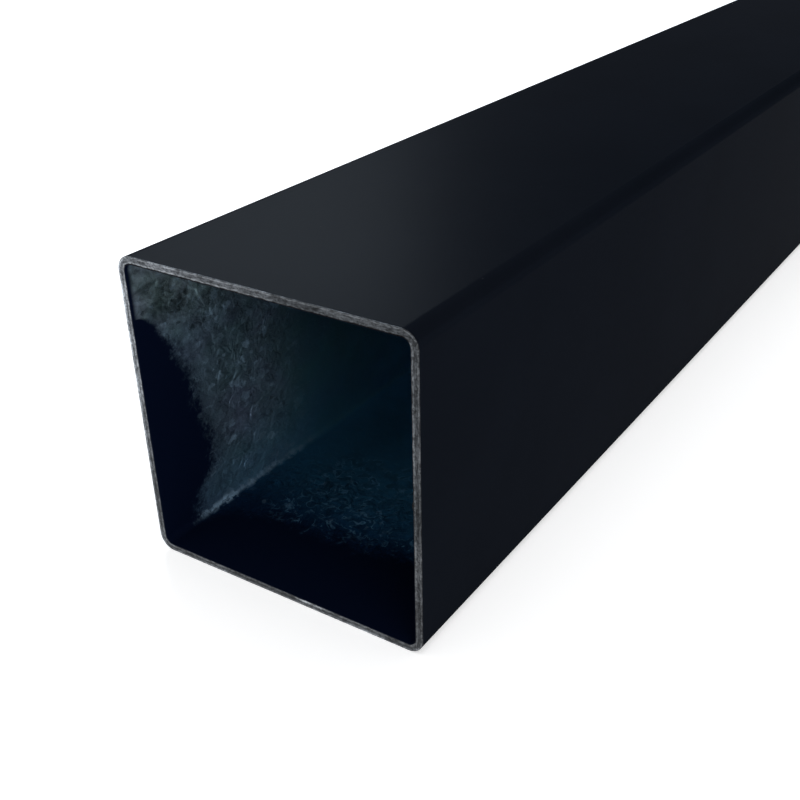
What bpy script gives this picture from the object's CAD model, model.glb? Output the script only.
import math

import bmesh
import bpy
from mathutils import Matrix, Vector

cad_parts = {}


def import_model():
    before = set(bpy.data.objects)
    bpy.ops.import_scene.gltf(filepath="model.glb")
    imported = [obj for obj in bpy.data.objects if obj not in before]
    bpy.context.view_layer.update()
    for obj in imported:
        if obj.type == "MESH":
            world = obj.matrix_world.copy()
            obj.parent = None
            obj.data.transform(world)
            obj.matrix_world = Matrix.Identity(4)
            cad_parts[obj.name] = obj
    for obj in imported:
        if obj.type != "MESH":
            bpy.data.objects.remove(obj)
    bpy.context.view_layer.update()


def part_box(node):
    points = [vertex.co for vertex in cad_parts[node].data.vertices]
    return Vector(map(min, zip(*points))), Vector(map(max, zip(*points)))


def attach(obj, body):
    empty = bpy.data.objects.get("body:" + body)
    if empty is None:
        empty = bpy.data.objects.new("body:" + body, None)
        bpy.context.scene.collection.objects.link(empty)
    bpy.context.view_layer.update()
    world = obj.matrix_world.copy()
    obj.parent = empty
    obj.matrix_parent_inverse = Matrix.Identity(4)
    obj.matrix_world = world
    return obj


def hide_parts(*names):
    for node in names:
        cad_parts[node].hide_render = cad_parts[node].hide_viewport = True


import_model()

# Looks of a black painted square steel tube. Metres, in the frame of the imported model:
# the tube lies along Y on one of its flats, with the end that faces -Y in front.

TUBE_LOW, TUBE_HIGH = (Vector(corner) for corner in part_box("square_tube"))
MIDDLE = (TUBE_LOW + TUBE_HIGH) / 2
SIDE = TUBE_HIGH.x - TUBE_LOW.x
LENGTH = TUBE_HIGH.y - TUBE_LOW.y

WALL = 0.002  # thickness of the strip
BORE = SIDE - 2 * WALL
OUTER_RADIUS = 0.004  # rolled corners, outside
FLAT_REACH = SIDE / 2 - OUTER_RADIUS  # from the middle of a wall to where it bends
CORNER_FACETS = 10
BEAD_WIDTH = 0.0024  # weld bead inside the right-hand wall
BEAD_HEIGHT = 0.0003
BEAD_ROWS = 6
DEBURR = 0.00015  # bevel on the sawn edges
DEBURR_FACETS = 2
SMOOTH_ANGLE = math.radians(50)
HAIR = 1e-6  # how close a point lies to a face that it belongs to


# ------------------------------------------------------------------ modelling


def select_only(piece):
    bpy.ops.object.select_all(action="DESELECT")
    piece.select_set(True)
    bpy.context.view_layer.objects.active = piece


def edit(piece):
    select_only(piece)
    bpy.ops.object.mode_set(mode="EDIT")


def done_editing():
    bpy.ops.object.mode_set(mode="OBJECT")


def pick(piece, kind, belongs):
    """Selects, in edit mode, the parts of one kind that pass the test, and nothing else."""
    bpy.ops.mesh.select_mode(type=kind)
    bpy.ops.mesh.select_all(action="DESELECT")
    mesh = bmesh.from_edit_mesh(piece.data)
    parts = {"VERT": mesh.verts, "EDGE": mesh.edges, "FACE": mesh.faces}[kind]
    for part in parts:
        part.select_set(belongs(part))
    mesh.select_flush_mode()
    bmesh.update_edit_mesh(piece.data)


def runs_along_tube(edge):
    a, b = edge.verts
    return abs(a.co.y - b.co.y) > LENGTH / 2


def is_sawn_end(face):
    return abs(face.normal.y) > 0.9


def is_sawn_edge(edge):
    """An edge between a sawn end and a wall."""
    return sorted(is_sawn_end(face) for face in edge.link_faces) == [False, True]


def on_right_wall(face):
    """The inner face of the right-hand wall, and the ends of that wall."""
    centre = face.calc_center_median()
    in_wall = BORE / 2 - BEAD_HEIGHT - HAIR < centre.x < SIDE / 2 - HAIR
    return in_wall and abs(centre.z - MIDDLE.z) < FLAT_REACH


def model_tube():
    """A rolled square section: cornered, bored through, with its weld bead and sawn edges."""
    bpy.ops.object.select_all(action="DESELECT")
    bpy.ops.mesh.primitive_cube_add(size=1, location=MIDDLE, scale=(SIDE, LENGTH, SIDE))
    tube = bpy.context.object
    tube.name = "painted_tube"
    bpy.ops.object.transform_apply(location=True, rotation=True, scale=True)

    edit(tube)
    pick(tube, "EDGE", runs_along_tube)
    bpy.ops.mesh.bevel(offset=OUTER_RADIUS, segments=CORNER_FACETS, affect="EDGES")
    pick(tube, "FACE", is_sawn_end)
    bpy.ops.mesh.inset(thickness=WALL, use_even_offset=True)
    bpy.ops.mesh.bridge_edge_loops()
    raise_weld_bead(tube)
    pick(tube, "EDGE", is_sawn_edge)
    bpy.ops.mesh.bevel(offset=DEBURR, segments=DEBURR_FACETS, affect="EDGES")
    done_editing()
    return tube


def raise_weld_bead(tube):
    """Cuts rows along the inside of the seam and lifts them off the wall to a round crown."""
    rows = [BEAD_WIDTH * (n / BEAD_ROWS - 0.5) for n in range(BEAD_ROWS + 1)]
    for row in rows:
        pick(tube, "FACE", on_right_wall)
        bpy.ops.mesh.bisect(plane_co=(0, 0, MIDDLE.z + row), plane_no=(0, 0, 1))
    for row in rows[1:-1]:
        lift_row(tube, MIDDLE.z + row, BEAD_HEIGHT * (1 - (2 * row / BEAD_WIDTH) ** 2))


def lift_row(tube, height, lift):
    """Moves the row of points at a height off the inside of the right-hand wall."""

    def in_row(vert):
        return abs(vert.co.x - BORE / 2) < HAIR and abs(vert.co.z - height) < HAIR

    pick(tube, "VERT", in_row)
    bpy.ops.transform.translate(value=(-lift, 0, 0))


def smooth(piece):
    """Rounds the look of the corners and bevels, and keeps the flats flat."""
    select_only(piece)
    bpy.ops.object.shade_smooth_by_angle(angle=SMOOTH_ANGLE)
    bpy.ops.object.modifier_add(type="WEIGHTED_NORMAL")
    piece.modifiers[-1].keep_sharp = True
    bpy.ops.object.modifier_apply(modifier=piece.modifiers[-1].name)


# ------------------------------------------------------- which finish goes where


def depth_below_outside(face):
    """How far the middle of a face lies in from the outer faces and corners of the tube."""
    centre = face.calc_center_median() - MIDDLE
    past_flats = (max(abs(centre.x) - FLAT_REACH, 0), max(abs(centre.z) - FLAT_REACH, 0))
    return OUTER_RADIUS - Vector(past_flats).length


def at_an_end(face):
    """A sawn face, or one of the bevels around it."""
    return abs(face.calc_center_median().y) > LENGTH / 2 - DEBURR


def is_outside(face):
    return not at_an_end(face) and depth_below_outside(face) < WALL / 2


def is_sawn(face):
    """A sawn end with its outer bevel. The inner bevel goes with the bore."""
    return at_an_end(face) and depth_below_outside(face) < WALL - DEBURR


def is_in_bore(face):
    return not is_outside(face) and not is_sawn(face)


def finish_with(piece, material, belongs):
    """Gives the faces that pass the test a material slot of their own."""
    select_only(piece)
    bpy.ops.object.material_slot_add()
    piece.material_slots[-1].material = material
    piece.active_material_index = len(piece.material_slots) - 1
    edit(piece)
    pick(piece, "FACE", belongs)
    bpy.ops.object.material_slot_assign()
    done_editing()


# ---------------------------------------------------------------- node helpers


def feed(tree, socket, value):
    """Links a socket to an output, or sets its value. Colours are given as red, green, blue."""
    if isinstance(value, bpy.types.NodeSocket):
        tree.links.new(value, socket)
    elif socket.type == "RGBA":
        socket.default_value = (*value, 1)
    else:
        socket.default_value = value


def sums(tree, operation, a, b=0.0):
    """One step of arithmetic."""
    node = tree.nodes.new("ShaderNodeMath")
    node.operation = operation
    feed(tree, node.inputs[0], a)
    feed(tree, node.inputs[1], b)
    return node.outputs[0]


def plus(tree, first, *others):
    for other in others:
        first = sums(tree, "ADD", first, other)
    return first


def times(tree, first, *others):
    for other in others:
        first = sums(tree, "MULTIPLY", first, other)
    return first


def minus(tree, a, b):
    return sums(tree, "SUBTRACT", a, b)


def over(tree, a, b):
    return sums(tree, "DIVIDE", a, b)


def larger(tree, a, b):
    return sums(tree, "MAXIMUM", a, b)


def smaller(tree, a, b):
    return sums(tree, "MINIMUM", a, b)


def unsigned(tree, value):
    return sums(tree, "ABSOLUTE", value)


def ease(tree, value, low, high, at_low=0.0, at_high=1.0):
    """Goes smoothly from one value to another between two bounds, and stays there."""
    node = tree.nodes.new("ShaderNodeMapRange")
    node.interpolation_type = "SMOOTHSTEP"
    feed(tree, node.inputs["Value"], value)
    feed(tree, node.inputs["From Min"], low)
    feed(tree, node.inputs["From Max"], high)
    feed(tree, node.inputs["To Min"], at_low)
    feed(tree, node.inputs["To Max"], at_high)
    return node.outputs["Result"]


def fade(tree, value, low, high):
    """Is 1 up to the lower bound and falls smoothly to 0 at the higher one."""
    return ease(tree, value, low, high, 1.0, 0.0)


def between(tree, mask, at_0, at_1):
    """One value where a mask is 0, another where it is 1, and eased from one to the other."""
    return ease(tree, mask, 0.0, 1.0, at_0, at_1)


def ramp(tree, value, low, high):
    """A straight rise from 0 to 1 between two bounds."""
    node = tree.nodes.new("ShaderNodeMapRange")
    feed(tree, node.inputs["Value"], value)
    feed(tree, node.inputs["From Min"], low)
    feed(tree, node.inputs["From Max"], high)
    return node.outputs["Result"]


def line_at(tree, value, middle, half_width):
    """A soft line, 1 along its middle and 0 past its half width."""
    return fade(tree, unsigned(tree, minus(tree, value, middle)), 0.0, half_width)


def blend(tree, share, a, b):
    """Mixes two colours."""
    node = tree.nodes.new("ShaderNodeMix")
    node.data_type = "RGBA"
    feed(tree, node.inputs["Factor"], share)
    feed(tree, node.inputs["A"], a)
    feed(tree, node.inputs["B"], b)
    return node.outputs["Result"]


def vectors(tree, operation, a, b):
    """One step of vector arithmetic. It gives a number only for a dot product."""
    node = tree.nodes.new("ShaderNodeVectorMath")
    node.operation = operation
    feed(tree, node.inputs[0], a)
    feed(tree, node.inputs["Scale"] if operation == "SCALE" else node.inputs[1], b)
    return node.outputs["Value" if operation == "DOT_PRODUCT" else "Vector"]


def shade(tree, colour, amount):
    """Makes a colour darker or lighter by a factor that changes over the surface."""
    return vectors(tree, "SCALE", colour, amount)


def swing(tree, tone, amount):
    """Goes from minus half an amount to plus half of it as a tone goes from 0 to 1."""
    return times(tree, minus(tree, tone, 0.5), amount)


def vary(tree, colour, tone, share):
    """Darkens and lightens a colour by up to a share of itself as a tone goes from 0 to 1."""
    factor = plus(tree, times(tree, swing(tree, tone, 2.0), share), 1.0)
    return shade(tree, colour, factor)


def tint(tree, colour, share, low, high):
    """Shifts a colour between two tints, each given as a share of the colour."""
    return vectors(tree, "MULTIPLY", colour, blend(tree, share, low, high))


def from_middle(tree):
    """Coordinates from the middle of the tube."""
    coordinates = tree.nodes.new("ShaderNodeTexCoord")
    centred = tree.nodes.new("ShaderNodeMapping")
    centred.inputs["Location"].default_value = -MIDDLE
    tree.links.new(coordinates.outputs["Object"], centred.inputs["Vector"])
    return centred.outputs["Vector"]


def apart(tree, vector):
    """The X, Y and Z of a vector, or the red, green and blue of a colour."""
    node = tree.nodes.new("ShaderNodeSeparateXYZ")
    tree.links.new(vector, node.inputs[0])
    return node.outputs


def together(tree, x, y, z):
    """A vector from three numbers."""
    node = tree.nodes.new("ShaderNodeCombineXYZ")
    feed(tree, node.inputs["X"], x)
    feed(tree, node.inputs["Y"], y)
    feed(tree, node.inputs["Z"], z)
    return node.outputs[0]


def position(tree):
    """X, Y and Z from the middle of the tube, each on its own."""
    return apart(tree, from_middle(tree))


def drawn_out(tree, length):
    """Coordinates that make a pattern longer along the tube by a factor."""
    spot = position(tree)
    return together(tree, spot["X"], over(tree, spot["Y"], length), spot["Z"])


def cloud(tree, vector, size, seed=0.0, detail=1.0, rough=0.55, twist=0.0):
    """Soft noise about 0.5, with lumps of the given size."""
    node = tree.nodes.new("ShaderNodeTexNoise")
    node.noise_dimensions = "4D"
    feed(tree, node.inputs["Vector"], vector)
    feed(tree, node.inputs["W"], seed)
    feed(tree, node.inputs["Scale"], over(tree, 1.0, size))
    feed(tree, node.inputs["Detail"], detail)
    feed(tree, node.inputs["Roughness"], rough)
    feed(tree, node.inputs["Distortion"], twist)
    return node.outputs[0]


def bump(tree, shader, height, scale):
    """Relief whose height of 1 stands the given number of metres."""
    node = tree.nodes.new("ShaderNodeBump")
    feed(tree, node.inputs["Height"], height)
    node.inputs["Distance"].default_value = scale
    tree.links.new(node.outputs["Normal"], shader.inputs["Normal"])


# ------------------------------------------------------------- shared effects


def new_group(name, inputs, outputs):
    """A node group with plain number sockets. Inputs carry their usual values."""
    tree = bpy.data.node_groups.new(name, "ShaderNodeTree")
    for label, value in inputs.items():
        socket = tree.interface.new_socket(label, in_out="INPUT", socket_type="NodeSocketFloat")
        socket.default_value = value
    for label in outputs:
        tree.interface.new_socket(label, in_out="OUTPUT", socket_type="NodeSocketFloat")
    start = tree.nodes.new("NodeGroupInput")
    end = tree.nodes.new("NodeGroupOutput")
    return tree, start.outputs, end.inputs


def use(tree, effect, **values):
    """Places an effect in a material with its own values, and returns its outputs."""
    node = tree.nodes.new("ShaderNodeGroup")
    node.node_tree = bpy.data.node_groups[effect]
    for label, value in values.items():
        feed(tree, node.inputs[label], value)
    return node.outputs


def mottle(tree, **values):
    """The tone of cloudy patches, the effect that is used most."""
    return use(tree, "mottle", **values)["Tone"]


def make_mottle():
    """Cloudy patches from 0 to 1, of a mean size in metres, drawn out along the tube."""
    usual = {"Size": 0.01, "Softness": 0.5, "Length": 1.0, "Seed": 0.0}
    tree, start, end = new_group("mottle", usual, ["Tone"])
    drawn = drawn_out(tree, start["Length"])
    lumps = cloud(tree, drawn, start["Size"], start["Seed"], detail=5.0, rough=0.62, twist=0.4)
    half = times(tree, start["Softness"], 0.5)
    tone = ease(tree, lumps, minus(tree, 0.5, half), plus(tree, 0.5, half))
    tree.links.new(tone, end["Tone"])


def make_specks():
    """Scattered dots. Their width is a share of their spacing, and only some of them show."""
    usual = {"Spacing": 0.002, "Width": 0.2, "Share": 0.5}
    tree, start, end = new_group("specks", usual, ["Mask"])
    cells = tree.nodes.new("ShaderNodeTexVoronoi")
    tree.links.new(from_middle(tree), cells.inputs["Vector"])
    tree.links.new(over(tree, 1.0, start["Spacing"]), cells.inputs["Scale"])
    core = times(tree, start["Width"], 0.5)
    dots = fade(tree, cells.outputs["Distance"], core, start["Width"])
    draw = apart(tree, cells.outputs["Color"])["X"]
    kept = sums(tree, "LESS_THAN", draw, start["Share"])
    tree.links.new(times(tree, dots, kept), end["Mask"])


def make_flakes():
    """Ragged flakes with crisp edges: a tone from 0 to 1 for each, and its lean as a height."""
    usual = {"Size": 0.002, "Ragged": 0.5, "Length": 1.0, "Seed": 0.0}
    tree, start, end = new_group("flakes", usual, ["Tone", "Lean"])
    scale = over(tree, 1.0, start["Size"])
    drawn = drawn_out(tree, start["Length"])
    wobble = tree.nodes.new("ShaderNodeTexNoise")  # a little finer than the flakes
    tree.links.new(drawn, wobble.inputs["Vector"])
    tree.links.new(times(tree, scale, 1.5), wobble.inputs["Scale"])
    throw = times(tree, start["Ragged"], start["Size"])
    shove = vectors(tree, "SCALE", wobble.outputs["Color"], throw)
    ragged = vectors(tree, "ADD", drawn, vectors(tree, "ADD", shove, start["Seed"]))
    cells = tree.nodes.new("ShaderNodeTexVoronoi")
    tree.links.new(ragged, cells.inputs["Vector"])
    tree.links.new(scale, cells.inputs["Scale"])
    off_core = vectors(tree, "SUBTRACT", ragged, cells.outputs["Position"])
    slope = vectors(tree, "SUBTRACT", cells.outputs["Color"], (0.5, 0.5, 0.5))
    tree.links.new(apart(tree, cells.outputs["Color"])["X"], end["Tone"])
    tree.links.new(vectors(tree, "DOT_PRODUCT", off_core, slope), end["Lean"])


def make_creases():
    """Smooth swells from 0 to 1, and thin curled ridges that wander between them."""
    usual = {"Size": 0.004, "Width": 0.04, "Length": 1.0, "Seed": 0.0}
    tree, start, end = new_group("creases", usual, ["Swell", "Ridge"])
    drawn = drawn_out(tree, start["Length"])
    swell = cloud(tree, drawn, start["Size"], start["Seed"], detail=1.5, rough=0.5, twist=1.2)
    tree.links.new(ease(tree, swell, 0.25, 0.75), end["Swell"])
    tree.links.new(line_at(tree, swell, 0.5, start["Width"]), end["Ridge"])


# ------------------------------------------------------------------ materials
# Places are measured from the middle of the tube, to the right and up, and depths in from
# its sawn ends. Two of them together are where a change starts and where it is complete.
# Tones are shares of a colour, and two of them together go from dark to light.


def new_material(name):
    """A material, with its node tree and its shader to feed."""
    material = bpy.data.materials.new(name)
    material.use_nodes = True
    shader = material.node_tree.nodes["Principled BSDF"]
    return material, material.node_tree, shader


# The paint outside: satin on the top and below, drier on the sides, dull on the corners.

PAINT = (0.0041, 0.0055, 0.0086)
PAINT_TONES = (0.93, 1.07)
PAINT_ROUGHNESS = 0.33
PAINT_GLOSS = 0.0012
SIDE_FINISH = (SIDE / 2 - 0.0008, SIDE / 2 - 0.0001)  # towards a side, from a corner
SIDE_ROUGHNESS = 0.45
SIDE_PALENESS = 1.2
CORNER_FINISH = (FLAT_REACH, FLAT_REACH + 0.0008)
CORNER_ROUGHNESS = 0.75
PAINT_DUST = (0.05, 0.055, 0.06)
DUST_COVER = 0.35
PEEL_SIZE = 0.0012  # orange peel of the sprayed paint
PEEL_HEIGHT = 0.00002


def black_paint():
    """Even black with faint clouds and a little dust, over fine orange peel."""
    material, tree, shader = new_material("satin_black_paint")
    spot = position(tree)
    across, up_or_down = (unsigned(tree, spot[axis]) for axis in ("X", "Z"))
    on_side = ease(tree, across, *SIDE_FINISH)
    past_flats = (ease(tree, off, *CORNER_FINISH) for off in (across, up_or_down))
    on_corner = smaller(tree, *past_flats)

    clouds = mottle(tree, Size=0.045, Softness=0.7)
    dust = use(tree, "specks", Spacing=0.006, Width=0.04, Share=0.35)["Mask"]
    colour = shade(tree, PAINT, between(tree, clouds, *PAINT_TONES))
    colour = shade(tree, colour, between(tree, on_side, 1.0, SIDE_PALENESS))
    colour = blend(tree, times(tree, dust, DUST_COVER), colour, PAINT_DUST)
    feed(tree, shader.inputs["Base Color"], colour)

    on_flats = between(tree, on_side, PAINT_ROUGHNESS, SIDE_ROUGHNESS)
    roughness = between(tree, on_corner, on_flats, CORNER_ROUGHNESS)
    feed(tree, shader.inputs["Roughness"], roughness)
    shader.inputs["Specular IOR Level"].default_value = PAINT_GLOSS
    bump(tree, shader, cloud(tree, from_middle(tree), PEEL_SIZE), PEEL_HEIGHT)
    return material


# The sawn ends: bright along both edges of the wall, duller where the saw came out. Lines
# along the wall are given by their middle and half width, in wall thicknesses from outside.

SAWN_EDGE = (0.23, 0.245, 0.262)
SAWN_CORE = (0.055, 0.06, 0.068)
SAWN_METALLIC = 0.9
SAWN_ROUGHNESS = (0.55, 0.4)  # between the grit and on it
SAWN_GLOSS = 0.1
GRIT_SIZE = 0.0004
GRIT_STREAK = 0.00035  # thickness of the streaks that the grit lies in
GRIT_STREAK_LENGTH = 4.0  # how much longer they are along the wall
GRIT_SPREAD = (0.05, 0.95)
GRIT_TONES = (0.45, 1.5)
GRIT_HEIGHT = 0.00003
PATCH_TONES = (0.8, 1.35)
OUTER_LINE = (0.14, 0.17)
OUTER_LINE_SHARE = 0.95
INNER_LINE = (0.76, 0.30)
LINE_WANDER = 0.08
TOP_RIM = (0.0370, 0.0378)
TOP_LINE_WORN = (-0.006, 0.012)  # the inner line of the top is worn off to the right
TOP_LINE_LOSS = 0.5
PATCH_SHARE = 0.45  # how bright patches between the lines are
DARK_FROM = (0.85, 0.78)  # where the dark inner edge starts: elsewhere, and on the top
DARK_EDGE = 0.05
DARK_TONES = (0.3, 0.02)  # and how much of the colour it leaves
RUBBED_RIMS = (-0.0385, -0.0375)  # the left and bottom rims are rubbed bright outside
RUBBED_RIM_WIDTH = (0.25, 0.50)
RUBBED_RIM_TONE = 2.0
NICK_AT = 0.0088  # a bright nick in the bottom rim
NICK_SPAN = (0.002, 0.006)
NICK_LINE = (0.72, 0.34)
NICK_TONE = 3.2
BOTTOM_RIM = (-0.038, -0.037)
BOTTOM_RIM_LIFT = (-0.038, -0.036)
BOTTOM_RIM_TONE = 1.3
SAW_EXIT = (-0.070, -0.012)  # from the top left to the bottom right of the rim
SAW_EXIT_TONE = 0.36


def depth_in_wall(tree, spot):
    """How far a point of the sawn end lies in from the outside, in wall thicknesses."""
    squares = []
    for axis in ("X", "Z"):
        past_flats = larger(tree, minus(tree, unsigned(tree, spot[axis]), FLAT_REACH), 0.0)
        squares.append(sums(tree, "POWER", past_flats, 2.0))
    from_bend = sums(tree, "SQRT", plus(tree, *squares))
    return over(tree, minus(tree, OUTER_RADIUS, from_bend), WALL)


def along_walls(tree, spot, length):
    """Coordinates on a sawn end that make a pattern longer along each wall by a factor."""
    level = together(tree, over(tree, spot["X"], length), 0.0, spot["Z"])
    upright = together(tree, spot["X"], 0.0, over(tree, spot["Z"], length))
    across, up_or_down = (unsigned(tree, spot[axis]) for axis in ("X", "Z"))
    is_level = sums(tree, "LESS_THAN", across, up_or_down)
    return blend(tree, is_level, upright, level)


def saw_grit(tree, spot):
    """Fine grains in short streaks along the walls, from 0 to 1."""
    walls = along_walls(tree, spot, GRIT_STREAK_LENGTH)
    streaks = cloud(tree, walls, GRIT_STREAK, seed=5.0, rough=0.6)
    grains = use(tree, "flakes", Size=GRIT_SIZE, Ragged=0.8, Seed=5.0)["Tone"]
    return times(tree, plus(tree, ease(tree, streaks, 0.3, 0.7), grains), 0.5)


def bright_lines(tree, spot, depth, on_top):
    """The bright line along each edge of the wall. The inner one is worn off on the top."""
    outer = times(tree, line_at(tree, depth, *OUTER_LINE), OUTER_LINE_SHARE)
    worn_off = times(tree, on_top, ease(tree, spot["X"], *TOP_LINE_WORN, 0.0, TOP_LINE_LOSS))
    inner = times(tree, line_at(tree, depth, *INNER_LINE), minus(tree, 1.0, worn_off))
    return larger(tree, outer, inner)


def dark_inner_edge(tree, depth, on_top):
    """How much of the colour is left towards the bore, from 0 to 1."""
    dark_from = between(tree, on_top, *DARK_FROM)
    dark = ease(tree, depth, dark_from, plus(tree, dark_from, DARK_EDGE))
    return between(tree, dark, 1.0, between(tree, on_top, *DARK_TONES))


def rubbed_rims(tree, spot, depth):
    """The outer edge of the left and bottom rims, from 0 to 1."""
    on_rims = fade(tree, smaller(tree, spot["X"], spot["Z"]), *RUBBED_RIMS)
    return times(tree, on_rims, fade(tree, depth, *RUBBED_RIM_WIDTH))


def bottom_nick(tree, spot, depth):
    """One bright spot across the bottom rim, from 0 to 1."""
    from_nick = unsigned(tree, minus(tree, spot["X"], NICK_AT))
    on_bottom = fade(tree, spot["Z"], *BOTTOM_RIM)
    across = line_at(tree, depth, *NICK_LINE)
    return times(tree, fade(tree, from_nick, *NICK_SPAN), on_bottom, across)


def sawn_steel():
    """Grit and patches between the bright lines, with the wear of each rim laid over them."""
    material, tree, shader = new_material("sawn_steel")
    spot = position(tree)
    grit = saw_grit(tree, spot)
    smears = mottle(tree, Size=0.0022, Softness=0.3, Seed=2.0)
    patches = mottle(tree, Size=0.011, Softness=0.25, Seed=4.0)
    depth = plus(tree, depth_in_wall(tree, spot), swing(tree, smears, LINE_WANDER))
    on_top = ease(tree, spot["Z"], *TOP_RIM)

    lines = bright_lines(tree, spot, depth, on_top)
    bright = larger(tree, lines, times(tree, larger(tree, smears, patches), PATCH_SHARE))
    colour = blend(tree, bright, SAWN_CORE, SAWN_EDGE)
    colour = shade(tree, colour, ease(tree, grit, *GRIT_SPREAD, *GRIT_TONES))
    colour = shade(tree, colour, between(tree, patches, *PATCH_TONES))
    colour = shade(tree, colour, dark_inner_edge(tree, depth, on_top))
    rubbed = between(tree, rubbed_rims(tree, spot, depth), 1.0, RUBBED_RIM_TONE)
    colour = shade(tree, colour, rubbed)
    nicked = between(tree, bottom_nick(tree, spot, depth), 1.0, NICK_TONE)
    colour = shade(tree, colour, nicked)
    down_and_right = minus(tree, spot["X"], spot["Z"])
    colour = shade(tree, colour, ease(tree, down_and_right, *SAW_EXIT, 1.0, SAW_EXIT_TONE))
    lift = ease(tree, spot["Z"], *BOTTOM_RIM_LIFT, BOTTOM_RIM_TONE, 1.0)
    feed(tree, shader.inputs["Base Color"], shade(tree, colour, lift))

    shader.inputs["Metallic"].default_value = SAWN_METALLIC
    feed(tree, shader.inputs["Roughness"], between(tree, grit, *SAWN_ROUGHNESS))
    shader.inputs["Specular IOR Level"].default_value = SAWN_GLOSS
    bump(tree, shader, grit, GRIT_HEIGHT)
    return material


# The bore: paint blown into its mouth, and bare rolled steel behind that.

OVERSPRAY = (0.0005, 0.0026, 0.0112)
OVERSPRAY_REACH = 0.0248  # how far the paint went into the mouth, on average
OVERSPRAY_LEAN = 0.083  # and how much further for each metre to the right
OVERSPRAY_LEAST = 0.0014  # it wraps round the edge everywhere
OVERSPRAY_HEIGHTS = (0.024, -0.019)  # none above the first, its full reach below the second
OVERSPRAY_ROUNDING = 0.45
OVERSPRAY_BOTTOM = 0.002  # how much further it goes along the bottom
OVERSPRAY_CORNER = 0.65  # share of its reach in the corners
CORNER_STARTS = (0.62, 0.80)  # shares of the way to a corner, on the walls and the bottom
CORNER_ENDS = (0.80, 0.97)
OVERSPRAY_DRIFT = 0.005  # how far its edge wanders
OVERSPRAY_SPATTER = 0.009
SPATTER_FROM = 0.02  # where it goes in less far than this, its edge is straighter,
SOFT_FROM = 0.018  # and less far than this, crisper
WALL_SOFTNESS = (0.0008, 0.0036)
BOTTOM_SOFTNESS = 0.0060
OVERSPRAY_MIST = 0.014  # how far the last thin mist of it goes on
MIST_SHARE = 0.45


def overspray_reach(tree, spot, toward_corner, on_bottom):
    """How far in the paint goes: less towards the top and into the corners, more to the right."""
    fullness = sums(tree, "POWER", ramp(tree, spot["Z"], *OVERSPRAY_HEIGHTS), OVERSPRAY_ROUNDING)
    reach = plus(tree, times(tree, spot["X"], OVERSPRAY_LEAN), OVERSPRAY_REACH)
    reach = times(tree, reach, fullness)
    reach = plus(tree, reach, times(tree, on_bottom, OVERSPRAY_BOTTOM))
    starts = between(tree, on_bottom, *CORNER_STARTS)
    ends = between(tree, on_bottom, *CORNER_ENDS)
    return times(tree, reach, ease(tree, toward_corner, starts, ends, 1.0, OVERSPRAY_CORNER))


def bare_share(tree, spot, depth, toward_corner, on_bottom):
    """Where the steel is bare, from 0 to 1: past the paint that was blown into the mouth."""
    reach = overspray_reach(tree, spot, toward_corner, on_bottom)
    drift = mottle(tree, Size=0.009, Softness=0.6, Seed=8.0)
    drift = swing(tree, drift, OVERSPRAY_DRIFT)
    spatter = mottle(tree, Size=0.0011, Softness=0.8, Seed=6.0)
    spatter = swing(tree, spatter, OVERSPRAY_SPATTER)
    ragged = times(tree, plus(tree, drift, spatter), ease(tree, reach, 0.0, SPATTER_FROM))
    reach = plus(tree, larger(tree, reach, OVERSPRAY_LEAST), ragged)
    on_wall = ease(tree, reach, 0.0, SOFT_FROM, *WALL_SOFTNESS)
    soft = between(tree, on_bottom, on_wall, BOTTOM_SOFTNESS)
    edge = ease(tree, depth, minus(tree, reach, soft), plus(tree, reach, soft))
    mist = ease(tree, depth, reach, plus(tree, reach, OVERSPRAY_MIST))
    return plus(tree, times(tree, edge, 1 - MIST_SHARE), times(tree, mist, MIST_SHARE))


STEEL_NEAR = (0.097, 0.140, 0.195)
STEEL_DEEP = (0.046, 0.122, 0.178)  # under a thicker film of oil
BOTTOM_NEAR = (0.004, 0.028, 0.080)  # under the oil that has run to the bottom
BOTTOM_DEEP = (0.049, 0.205, 0.355)
OIL_THICKENS = (0.042, 0.066)
NO_TINT = (1, 1, 1)  # tints are shares of the steel's own colour
GREENISH = (0.86, 1.07, 0.92)
LAVENDER = (1.08, 0.97, 1.10)
OLIVE = (1.48, 1.36, 1.08)
OLIVE_HEIGHTS = (0.012, 0.030)
DULL = (1.05, 0.92, 0.86)
DULL_HEIGHTS = (-0.024, 0.006)
MOUTH = (0.003, 0.008)
MOUTH_TONE = 1.25
OILY_HEIGHTS = (-0.036, -0.014)  # oil from the bottom has crept up the walls
OILY_SHARE = 0.35
LOWER_HEIGHTS = (-0.014, 0.004)
DIMMED_DEPTHS = (0.018, 0.036)  # low down, the walls are dimmer up to these depths
DIMMED = 0.32
LIFTED_DEPTHS = (0.026, 0.040)  # and lighter past these
LIFTED = 0.25


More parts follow.
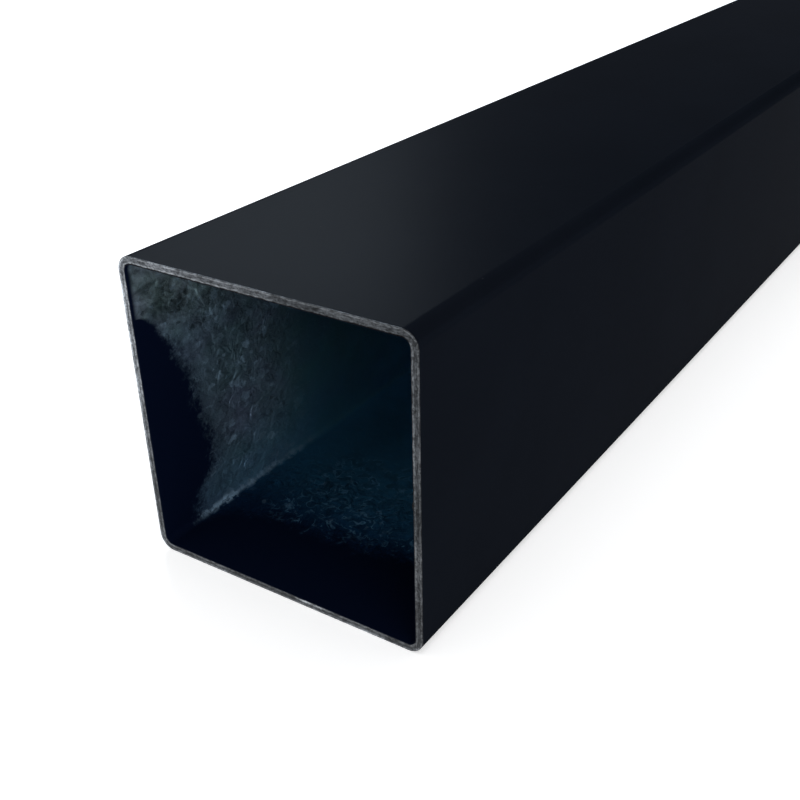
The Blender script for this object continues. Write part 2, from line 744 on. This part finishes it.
def wall_steel(tree, spot, depth):
    """Bare steel of the walls, in patches of tint, with more oil low down and deep in."""
    height = spot["Z"]
    deep = tint(tree, STEEL_DEEP, ease(tree, height, *DULL_HEIGHTS), NO_TINT, DULL)
    steel = blend(tree, ease(tree, depth, *OIL_THICKENS), STEEL_NEAR, deep)
    patches = mottle(tree, Size=0.016, Softness=0.5, Length=1.5, Seed=12.0)
    steel = tint(tree, steel, patches, GREENISH, LAVENDER)
    steel = tint(tree, steel, ease(tree, height, *OLIVE_HEIGHTS), NO_TINT, OLIVE)
    steel = shade(tree, steel, ease(tree, depth, *MOUTH, MOUTH_TONE, 1.0))
    oily = ease(tree, height, *OILY_HEIGHTS, OILY_SHARE, 0.0)
    steel = blend(tree, oily, steel, BOTTOM_DEEP)
    lower = fade(tree, height, *LOWER_HEIGHTS)
    dimmed = minus(tree, 1.0, times(tree, lower, DIMMED))
    steel = shade(tree, steel, ease(tree, depth, *DIMMED_DEPTHS, dimmed, 1.0))
    lifted = plus(tree, 1.0, times(tree, lower, LIFTED))
    return shade(tree, steel, ease(tree, depth, *LIFTED_DEPTHS, 1.0, lifted))


BOTTOM_DEPTHS = (0.022, 0.06)
BOTTOM_ACROSS = (-0.03, 0.02)
BOTTOM_TONES = (0.8, 1.75)
BOTTOM_BACK = (0.055, 0.085)
BOTTOM_BACK_TONE = 1.35
OIL_GLINTS = (0.30, 0.66, 1.0)
CURLED_DEPTHS = (0.054, 0.068)  # the oil is broken into curls up to these depths
CURLED_ACROSS = (-0.032, -0.016)
CURLED_LEAST = 0.4  # where the wear is least
CURL_SWELLS = 0.35
CURL_STROKES = 0.6


def oily_bottom(tree, spot, depth, wear):
    """Oil that has run together on the bottom, broken into pale curls for part of the way."""
    bottom = blend(tree, ease(tree, depth, *BOTTOM_DEPTHS), BOTTOM_NEAR, BOTTOM_DEEP)
    bottom = shade(tree, bottom, ease(tree, spot["X"], *BOTTOM_ACROSS, *BOTTOM_TONES))
    bottom = shade(tree, bottom, ease(tree, depth, *BOTTOM_BACK, 1.0, BOTTOM_BACK_TONE))
    curls = use(tree, "creases", Size=0.0038, Width=0.055, Seed=21.0)
    gaps = mottle(tree, Size=0.0028, Softness=0.15, Seed=23.0)
    curled = times(
        tree,
        fade(tree, depth, *CURLED_DEPTHS),
        between(tree, wear, CURLED_LEAST, 1.0),
        ease(tree, spot["X"], *CURLED_ACROSS),
    )
    bottom = vary(tree, bottom, curls["Swell"], times(tree, curled, CURL_SWELLS))
    strokes = times(tree, curls["Ridge"], gaps, curled, CURL_STROKES)
    return blend(tree, strokes, bottom, OIL_GLINTS)


BRIGHT_SCALE = (0.38, 0.58, 0.78)  # where the scale has cracked off
RUBBED_HEIGHTS = (0.0, 0.022)  # the scale is rubbed high up in the mouth
RUBBED_DEPTHS = (0.024, 0.046)
RUBBED_SHARE = 0.62
TORN_SHARES = (0.05, 0.22)  # elsewhere, and where it is rubbed
SCABS_FROM = (0.90, 0.94)
SCAB_SHARE = 0.32


def worn_scale(tree, steel, spot, depth, worn_wall):
    """Marks of wear on the walls: rubbed patches high up, torn strokes and bright scabs."""
    rubs = mottle(tree, Size=0.0042, Softness=0.35, Length=1.6, Seed=31.0)
    near_top = ease(tree, spot["Z"], *RUBBED_HEIGHTS)
    rubbed = times(tree, near_top, fade(tree, depth, *RUBBED_DEPTHS))
    steel = vary(tree, steel, rubs, times(tree, rubbed, RUBBED_SHARE))

    tears = use(tree, "creases", Size=0.0042, Width=0.07, Length=1.2, Seed=33.0)["Ridge"]
    gaps = mottle(tree, Size=0.0016, Softness=0.15, Seed=35.0)
    torn = times(tree, tears, gaps, worn_wall, between(tree, rubbed, *TORN_SHARES))
    steel = blend(tree, torn, steel, BRIGHT_SCALE)

    scabs = use(tree, "flakes", Size=0.0022, Ragged=1.1, Length=1.4, Seed=41.0)["Tone"]
    scabs = times(tree, ease(tree, scabs, *SCABS_FROM, 0.0, SCAB_SHARE), worn_wall)
    return blend(tree, scabs, steel, BRIGHT_SCALE)


PLATE_SHARE = 0.15  # how far the tones of plates and chips differ
CHIP_SHARE = 0.10
PITS_BELOW = (0.03, 0.05)
PIT_TONE = 0.55
CHIPPED_FROM = (0.965, 0.98)
CHIPPED_SHARE = 0.35


def broken_scale(tree, steel, plates, chips, creased, worn):
    """A tone of its own for each plate and chip, with dark pits and bright chipped spots."""
    steel = vary(tree, steel, plates, times(tree, creased, PLATE_SHARE))
    steel = vary(tree, steel, chips, times(tree, worn, CHIP_SHARE))
    pits = times(tree, fade(tree, chips, *PITS_BELOW), worn)
    steel = shade(tree, steel, between(tree, pits, 1.0, PIT_TONE))
    chipped = times(tree, ease(tree, chips, *CHIPPED_FROM, 0.0, CHIPPED_SHARE), worn)
    return blend(tree, chipped, steel, BRIGHT_SCALE)


SWELL_HEIGHT = 0.00036
RIDGE_HEIGHT = 0.000036
PLATE_SLOPE = 0.32
CHIP_SLOPE = 0.10
SMOOTH_SHARE = 0.1  # how much of the relief is left deep in


def scale_relief(tree, plates, chips, creased):
    """Height of the scale in metres: swells with thin ridges, and plates and chips that lean."""
    folds = use(tree, "creases", Size=0.0035, Width=0.03, Length=1.2, Seed=3.0)
    relief = plus(
        tree,
        times(tree, folds["Swell"], SWELL_HEIGHT),
        times(tree, folds["Ridge"], RIDGE_HEIGHT),
        times(tree, plates, PLATE_SLOPE),
        times(tree, chips, CHIP_SLOPE),
    )
    return times(tree, relief, between(tree, creased, SMOOTH_SHARE, 1.0))


CREASED_DEPTHS = (0.038, 0.066)  # the scale is creased and chipped up to these depths
CREASED_HEIGHTS = (-0.038, -0.020)
CREASED_LEAST = 0.6  # at the foot of the walls
WORN_LEAST = 0.25
FAR_IN = (0.080, 0.105)
FAR_TONE = 1.5
CLOUD_SHARE = 0.15


def mill_scale(tree, spot, depth, on_bottom):
    """Bare rolled steel with its oil and wear. Gives its colour and the height of its relief."""
    wear = mottle(tree, Size=0.007, Softness=0.35, Length=1.2, Seed=14.0)
    clouds = mottle(tree, Size=0.013, Softness=0.6, Seed=8.0)
    plates = use(tree, "flakes", Size=0.0030, Ragged=0.9, Length=1.3, Seed=11.0)
    chips = use(tree, "flakes", Size=0.0011, Ragged=0.8, Length=1.4, Seed=7.0)
    at_height = ease(tree, spot["Z"], *CREASED_HEIGHTS, CREASED_LEAST, 1.0)
    creased = times(tree, fade(tree, depth, *CREASED_DEPTHS), at_height)
    worn = times(tree, creased, between(tree, wear, WORN_LEAST, 1.0))
    worn_wall = times(tree, worn, minus(tree, 1.0, on_bottom))

    bottom = oily_bottom(tree, spot, depth, wear)
    steel = blend(tree, on_bottom, wall_steel(tree, spot, depth), bottom)
    steel = shade(tree, steel, ease(tree, depth, *FAR_IN, 1.0, FAR_TONE))
    steel = vary(tree, steel, clouds, CLOUD_SHARE)
    steel = worn_scale(tree, steel, spot, depth, worn_wall)
    steel = broken_scale(tree, steel, plates["Tone"], chips["Tone"], creased, worn)
    return steel, scale_relief(tree, plates["Lean"], chips["Lean"], creased)


STREAK_WIDTH = (0.0007, 0.0022)
STREAK_RAGGED = 0.0010
STREAK_LEAST = 0.5
STREAK_DEPTHS = (0.022, 0.072)


def corner_streak(tree, depth, to_corner):
    """Scale cracked off along the inside of the rolled corners, ragged, for part of the way in."""
    ragged = use(tree, "flakes", Size=0.0012, Ragged=1.0, Length=1.3, Seed=9.0)["Tone"]
    gaps = mottle(tree, Size=0.005, Softness=0.5, Seed=10.0)
    off = plus(tree, to_corner, times(tree, ragged, STREAK_RAGGED))
    return times(
        tree,
        fade(tree, off, *STREAK_WIDTH),
        between(tree, gaps, STREAK_LEAST, 1.0),
        fade(tree, depth, *STREAK_DEPTHS),
    )


BORE_METALLIC = 0.75  # of the bare steel
BORE_ROUGHNESS = (0.6, 0.45)  # of the paint, and of the bare steel
BORE_GLOSS = 0.05
BOTTOM_SEAM = 0.0012  # over how much the finish of the walls changes to that of the bottom


def bare_bore():
    """Paint over the steel at the mouth, and the steel with its relief past it."""
    material, tree, shader = new_material("bore_with_overspray")
    spot = position(tree)
    depth = minus(tree, LENGTH / 2, unsigned(tree, spot["Y"]))
    from_side = minus(tree, BORE / 2, unsigned(tree, spot["X"]))
    from_flat = minus(tree, BORE / 2, unsigned(tree, spot["Z"]))
    to_corner = larger(tree, from_side, from_flat)
    toward_corner = over(tree, minus(tree, BORE / 2, to_corner), BORE / 2)
    from_bottom = plus(tree, spot["Z"], BORE / 2)
    on_bottom = ease(tree, minus(tree, from_side, from_bottom), -BOTTOM_SEAM, BOTTOM_SEAM)

    bare = bare_share(tree, spot, depth, toward_corner, on_bottom)
    steel, relief = mill_scale(tree, spot, depth, on_bottom)
    steel = blend(tree, corner_streak(tree, depth, to_corner), steel, BRIGHT_SCALE)
    feed(tree, shader.inputs["Base Color"], blend(tree, bare, OVERSPRAY, steel))
    feed(tree, shader.inputs["Metallic"], times(tree, bare, BORE_METALLIC))
    feed(tree, shader.inputs["Roughness"], between(tree, bare, *BORE_ROUGHNESS))
    shader.inputs["Specular IOR Level"].default_value = BORE_GLOSS
    bump(tree, shader, times(tree, relief, bare), 1.0)
    return material


# ---------------------------------------------------------------------- stage

FLOOR_SIZE = 30.0
FLOOR_COLOUR = (0.80, 0.80, 0.80)
FLOOR_ROUGHNESS = 0.9
FLOOR_LIFT = 0.50  # added where the floor is looked at, to bring it up to white
HORIZON = (0.10, 0.10, 0.105)
ZENITH = (0.45, 0.455, 0.47)
ZENITH_FROM = 0.8  # how steep a look up meets the full brightness
COLD_WHITE = (0.78, 0.90, 1.0)


def floor():
    """A pale floor that looks white and keeps the tube's shadow."""
    bpy.ops.mesh.primitive_plane_add(size=FLOOR_SIZE, location=(0, 0, TUBE_LOW.z))
    ground = bpy.context.object
    ground.name = "floor"
    material, tree, shader = new_material("pale_floor")
    feed(tree, shader.inputs["Base Color"], FLOOR_COLOUR)
    shader.inputs["Roughness"].default_value = FLOOR_ROUGHNESS
    shader.inputs["Specular IOR Level"].default_value = 0.0
    rays = tree.nodes.new("ShaderNodeLightPath").outputs
    seen = plus(
        tree, rays["Is Camera Ray"], rays["Is Glossy Ray"], rays["Is Transmission Ray"]
    )
    feed(tree, shader.inputs["Emission Color"], (1, 1, 1))
    lift = times(tree, smaller(tree, seen, 1.0), FLOOR_LIFT)
    feed(tree, shader.inputs["Emission Strength"], lift)
    ground.data.materials.append(material)


def soft_lamp(name, place, aim, size, radiance, colour=(1, 1, 1)):
    """A rectangular soft box. Its radiance is the brightness of its face, where 1 is white."""
    data = bpy.data.lights.new(name, "AREA")
    data.shape = "RECTANGLE"
    data.size, data.size_y = size
    data.energy = radiance * math.pi * size[0] * size[1]
    data.color = colour
    lamp = bpy.data.objects.new(name, data)
    bpy.context.scene.collection.objects.link(lamp)
    lamp.location = place
    lamp.rotation_euler = (Vector(aim) - Vector(place)).to_track_quat("-Z", "Y").to_euler()
    lamp.visible_camera = False


def lamps():
    """A cold panel behind on the left, a soft box overhead, and two lamps in front."""
    soft_lamp(
        "left_panel",
        place=(-1.235, 0.835, 0.987),
        aim=(0, -0.45, 0.08),
        size=(0.69, 0.41),
        radiance=30,
        colour=COLD_WHITE,
    )
    soft_lamp(
        "overhead",
        place=(0.2, -0.6, 2.4),
        aim=(0, -0.3, 0),
        size=(2.4, 2.4),
        radiance=1.1,
    )
    soft_lamp(
        "front_right",
        place=(1.6, -1.6, 0.6),
        aim=(0, -0.45, 0.04),
        size=(1.2, 1.2),
        radiance=4.5,
    )
    soft_lamp(
        "front_fill",
        place=(0.35, -2.2, 0.38),
        aim=(0, -0.45, 0.04),
        size=(1.0, 1.0),
        radiance=1.1,
    )


def world():
    """A dim room that is lighter overhead."""
    surroundings = bpy.data.worlds.new("studio")
    surroundings.use_nodes = True
    tree = surroundings.node_tree
    direction = tree.nodes.new("ShaderNodeTexCoord").outputs["Generated"]
    height = ramp(tree, apart(tree, direction)["Z"], 0, ZENITH_FROM)
    sky = blend(tree, height, HORIZON, ZENITH)
    feed(tree, tree.nodes["Background"].inputs["Color"], sky)
    bpy.context.scene.world = surroundings


# --------------------------------------------------------------------- camera

CAMERA_FROM_END = Vector((0.14043, -0.15459, 0.12570))  # from the centre of the front end
CAMERA_AZIMUTH = math.radians(32.395)
CAMERA_ELEVATION = math.radians(30.095)
CAMERA_ROLL = math.radians(-0.413)
CAMERA_NEAREST = 0.01
LENS = 48.539
SENSOR = 36.0
SHIFT = (-0.0375, 0.0375)


def camera():
    """Looks down on the front end from the right, and along the tube."""
    data = bpy.data.cameras.new("camera")
    data.lens, data.sensor_width = LENS, SENSOR
    data.shift_x, data.shift_y = SHIFT
    data.clip_start = CAMERA_NEAREST
    view = bpy.data.objects.new("camera", data)
    bpy.context.scene.collection.objects.link(view)
    turn = (
        Matrix.Rotation(CAMERA_AZIMUTH, 4, "Z")
        @ Matrix.Rotation(math.pi / 2 - CAMERA_ELEVATION, 4, "X")
        @ Matrix.Rotation(CAMERA_ROLL, 4, "Z")
    )
    front_end = Vector((MIDDLE.x, TUBE_LOW.y, MIDDLE.z))
    view.matrix_world = Matrix.Translation(front_end + CAMERA_FROM_END) @ turn
    bpy.context.scene.camera = view


# ----------------------------------------------------------------------- make

make_mottle()
make_specks()
make_flakes()
make_creases()

tube = model_tube()
finish_with(tube, black_paint(), is_outside)
finish_with(tube, sawn_steel(), is_sawn)
finish_with(tube, bare_bore(), is_in_bore)
smooth(tube)
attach(tube, "root")
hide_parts("square_tube")

floor()
world()
lamps()
camera()
bpy.context.scene.view_settings.view_transform = "Standard"
